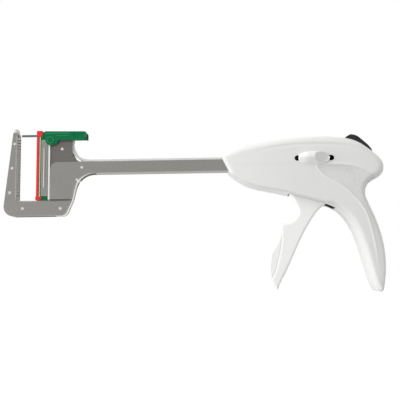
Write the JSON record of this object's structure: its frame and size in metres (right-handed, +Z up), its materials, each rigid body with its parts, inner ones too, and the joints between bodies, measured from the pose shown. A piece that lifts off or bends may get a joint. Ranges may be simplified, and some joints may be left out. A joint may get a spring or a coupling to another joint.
{
  "type": "surgical linear stapler",
  "caption": "Hand-held surgical linear stapler: C-shaped steel jaw frame, sliding staple reload with retainer and retaining pin, pistol-grip housing, squeeze trigger and release button.",
  "frame": {"origin": "on the shaft's axis, at the plane where the shaft enters the nose of the housing", "axes": "+X along the shaft towards the grip, +Y towards the user's right, +Z up towards the release button"},
  "size_m": [0.3584, 0.0406, 0.1596],
  "materials": {
    "steel": "fine brushed",
    "bright_steel": "bright drawn wire",
    "white_plastic": "moulded satin",
    "green_plastic": "moulded satin",
    "red_plastic": "moulded satin",
    "cream_plastic": "moulded satin",
    "grey_plastic": "moulded satin",
    "black_plastic": "moulded satin"
  },
  "bodies": {
    "frame": {"frame_plate_left": "steel", "frame_plate_right": "steel", "jaw_doubler_left": "steel", "jaw_doubler_right": "steel", "shaft_cover_left": "steel", "shaft_cover_right": "steel", "jaw_rivets": "steel", "upper_rivet": "steel", "cover_rivets": "steel", "anvil": "steel", "anvil_tip": "white_plastic", "lower_guide": "white_plastic", "housing_left": "white_plastic", "housing_right": "white_plastic", "housing_screws": "steel", "trigger_pin": "steel", "button_pin": "steel", "trigger_spring": "bright_steel", "button_spring": "bright_steel"},
    "moving_jaw": {"jaw_shell": "steel", "jaw_slider": "white_plastic", "jaw_pin": "steel", "closing_bar": "steel", "closing_pin": "steel", "reload_deck": "cream_plastic", "reload_body": "green_plastic", "staples": "bright_steel", "staple_driver": "grey_plastic"},
    "firing_bar": {"firing_bar": "steel"},
    "staple_retainer": {"staple_retainer": "red_plastic"},
    "pin_slider": {"retaining_pin": "steel", "pin_pusher": "white_plastic", "knob_crossbar": "steel", "slider_knob_left": "white_plastic", "slider_knob_right": "white_plastic"},
    "trigger": {"trigger": "white_plastic"},
    "release_button": {"release_button": "black_plastic", "release_pawl": "steel"}
  },
  "joints": [
    {"name": "trigger_squeeze", "type": "hinge", "parent": "frame", "child": "trigger", "pos_m": [0.076, 0, -0.027], "axis": [0, -1, 0], "range_deg": [0, 39.8], "stiffness_Nm_per_rad": 0.6, "springref_deg": -17.19, "deforming": ["trigger_spring"]},
    {"name": "jaw_slide", "type": "slide", "parent": "frame", "child": "moving_jaw", "axis": [-1, 0, 0], "range_m": [0, 0.0181]},
    {"name": "pin_slide", "type": "slide", "parent": "frame", "child": "pin_slider", "axis": [1, 0, 0], "range_m": [-0.0048, 0.013]},
    {"name": "retainer_slide", "type": "slide", "parent": "moving_jaw", "child": "staple_retainer", "axis": [0, -1, 0], "range_m": [0, 0.02]},
    {"name": "firing_slide", "type": "slide", "parent": "moving_jaw", "child": "firing_bar", "axis": [-1, 0, 0], "range_m": [0, 0.0025]},
    {"name": "button_rock", "type": "hinge", "parent": "frame", "child": "release_button", "pos_m": [0.116, 0, 0.015], "axis": [0, 1, 0], "range_deg": [0, 5], "stiffness_Nm_per_rad": 0.5, "springref_deg": -11.46, "deforming": ["button_spring"]}
  ],
  "couplings": [
    {"joint": "jaw_slide", "follows": "trigger_squeeze", "m_per_rad": 0.026052}
  ]
}
